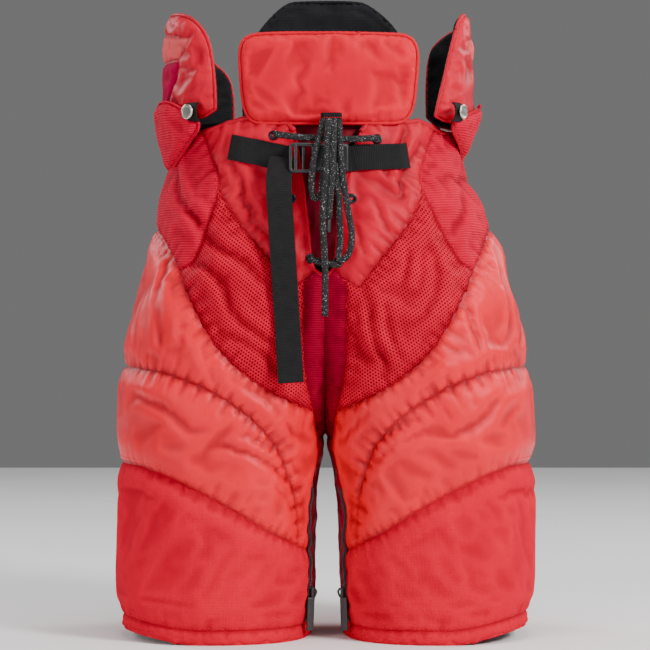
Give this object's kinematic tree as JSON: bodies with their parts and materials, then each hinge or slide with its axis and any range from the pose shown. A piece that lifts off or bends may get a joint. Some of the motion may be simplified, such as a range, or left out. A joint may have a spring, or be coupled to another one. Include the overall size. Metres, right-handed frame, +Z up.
{
  "type": "ice hockey pants",
  "caption": "Padded ice hockey pants with a hip girdle, two thigh tubes, tall kidney and side pads, front belly pad, laced fly and side-release waist belt.",
  "frame": {"origin": "on the floor, midway between the two leg hems, at the middle of the bounding box's base", "axes": "+Z up along the wearer's body, -Y the wearer's front, +X the right-hand side as seen from the front"},
  "size_m": [0.422, 0.2716, 0.655],
  "materials": {
    "nylon": "satin",
    "pad_cover": "satin",
    "rib_knit": "matte",
    "mesh_knit": "matte",
    "cordura": "matte",
    "inner_cloth": "matte",
    "gusset_knit": "matte",
    "lining": "matte",
    "foam": "matte",
    "webbing": "matte",
    "lace": "matte",
    "acetal": "satin",
    "metal": "satin",
    "metal_black": "satin",
    "zip": "satin"
  },
  "bodies": {
    "girdle": {"left_yoke": "nylon", "right_yoke": "nylon", "seat_panel": "nylon", "crotch_gusset": "gusset_knit", "fly_tongue": "nylon", "waist_liner": "lining", "left_rib_panel": "rib_knit", "right_rib_panel": "rib_knit", "left_mesh_panel": "mesh_knit", "right_mesh_panel": "mesh_knit", "left_hip_flap": "rib_knit", "right_hip_flap": "rib_knit", "left_suspender_button": "metal", "right_suspender_button": "metal", "belt_right": "webbing", "belt_left": "webbing", "buckle_socket": "acetal", "eyelet_top_left": "metal_black", "eyelet_top_right": "metal_black", "eyelet_middle_left": "metal_black", "eyelet_middle_right": "metal_black", "eyelet_lower_left": "metal_black", "eyelet_lower_right": "metal_black", "lace_top_rung": "lace", "lace_bottom_rung": "lace", "lace_loop_left": "lace", "lace_loop_right": "lace", "lace_tail_left": "lace", "lace_tail_right": "lace", "lace_knot": "lace"},
    "belly_guard": {"belly_pad": "pad_cover", "lace_keeper": "webbing"},
    "kidney_guard": {"kidney_pad": "lining"},
    "left_side_wing": {"left_wing": "pad_cover"},
    "right_side_wing": {"right_wing": "pad_cover"},
    "buckle_male": {"buckle_plug": "acetal"},
    "prong_upper": {"buckle_prong_upper": "acetal"},
    "prong_lower": {"buckle_prong_lower": "acetal"},
    "strap_end": {"belt_tail": "webbing"},
    "left_leg": {"left_upper_thigh": "nylon", "left_mid_thigh": "nylon", "left_lower_thigh": "cordura", "left_inner_leg": "inner_cloth", "left_back_leg": "cordura", "left_hem_band": "cordura", "left_thigh_foam": "foam", "left_zip_tape": "zip"},
    "left_slider": {"left_zip_slider": "zip"},
    "left_pull": {"left_zip_pull": "zip"},
    "right_leg": {"right_upper_thigh": "nylon", "right_mid_thigh": "nylon", "right_lower_thigh": "cordura", "right_inner_leg": "inner_cloth", "right_back_leg": "cordura", "right_hem_band": "cordura", "right_thigh_foam": "foam", "right_zip_tape": "zip"},
    "right_slider": {"right_zip_slider": "zip"},
    "right_pull": {"right_zip_pull": "zip"}
  },
  "joints": [
    {"name": "left_hip_flex", "type": "hinge", "parent": "girdle", "child": "left_leg", "pos_m": [-0.1, 0, 0.405], "axis": [-1, 0, 0], "range_deg": [0, 25], "stiffness_Nm_per_rad": 8, "deforming": ["left_rib_panel", "left_mesh_panel", "crotch_gusset"]},
    {"name": "right_hip_flex", "type": "hinge", "parent": "girdle", "child": "right_leg", "pos_m": [0.1, 0, 0.405], "axis": [-1, 0, 0], "range_deg": [0, 25], "stiffness_Nm_per_rad": 8, "deforming": ["right_rib_panel", "right_mesh_panel", "crotch_gusset"]},
    {"name": "belly_pad_tilt", "type": "hinge", "parent": "girdle", "child": "belly_guard", "pos_m": [0.004, -0.112, 0.513], "axis": [1, 0, 0], "range_deg": [-8, 25], "stiffness_Nm_per_rad": 1.2},
    {"name": "kidney_pad_tilt", "type": "hinge", "parent": "girdle", "child": "kidney_guard", "pos_m": [0, 0.11, 0.512], "axis": [-1, 0, 0], "range_deg": [0, 12], "stiffness_Nm_per_rad": 2.5},
    {"name": "left_wing_fold", "type": "hinge", "parent": "girdle", "child": "left_side_wing", "pos_m": [-0.097, 0, 0.513], "axis": [0, 1, 0], "range_deg": [0, 10], "stiffness_Nm_per_rad": 2.5},
    {"name": "right_wing_fold", "type": "hinge", "parent": "girdle", "child": "right_side_wing", "pos_m": [0.097, 0, 0.513], "axis": [0, -1, 0], "range_deg": [0, 10], "stiffness_Nm_per_rad": 2.5},
    {"name": "buckle_release", "type": "slide", "parent": "girdle", "child": "buckle_male", "axis": [-1, 0, 0], "range_m": [0, 0.0225], "deforming": ["belt_left"]},
    {"name": "prong_upper_squeeze", "type": "hinge", "parent": "buckle_male", "child": "prong_upper", "pos_m": [-0.0095, -0.122, 0.4845], "axis": [0, 1, 0], "range_deg": [0, 6], "stiffness_Nm_per_rad": 0.05},
    {"name": "prong_lower_squeeze", "type": "hinge", "parent": "buckle_male", "child": "prong_lower", "pos_m": [-0.0095, -0.122, 0.4675], "axis": [0, -1, 0], "range_deg": [0, 6], "stiffness_Nm_per_rad": 0.05},
    {"name": "strap_end_swing", "type": "hinge", "parent": "buckle_male", "child": "strap_end", "pos_m": [-0.0465, -0.1312, 0.463], "axis": [-1, 0, 0], "range_deg": [0, 30]},
    {"name": "left_zip_open", "type": "slide", "parent": "left_leg", "child": "left_slider", "axis": [0.062, 0, 0.9981], "range_m": [0, 0.095]},
    {"name": "left_zip_pull_swing", "type": "hinge", "parent": "left_slider", "child": "left_pull", "pos_m": [-0.0166, -0.05, 0.0408], "axis": [0, -1, 0], "range_deg": [0, 14]},
    {"name": "right_zip_open", "type": "slide", "parent": "right_leg", "child": "right_slider", "axis": [-0.062, 0, 0.9981], "range_m": [0, 0.095]},
    {"name": "right_zip_pull_swing", "type": "hinge", "parent": "right_slider", "child": "right_pull", "pos_m": [0.0166, -0.05, 0.0408], "axis": [0, 1, 0], "range_deg": [0, 14]}
  ],
  "couplings": [
    {"joint": "prong_lower_squeeze", "follows": "prong_upper_squeeze", "ratio": 1},
    {"joint": "strap_end_swing", "follows": "left_hip_flex", "ratio": 1}
  ]
}
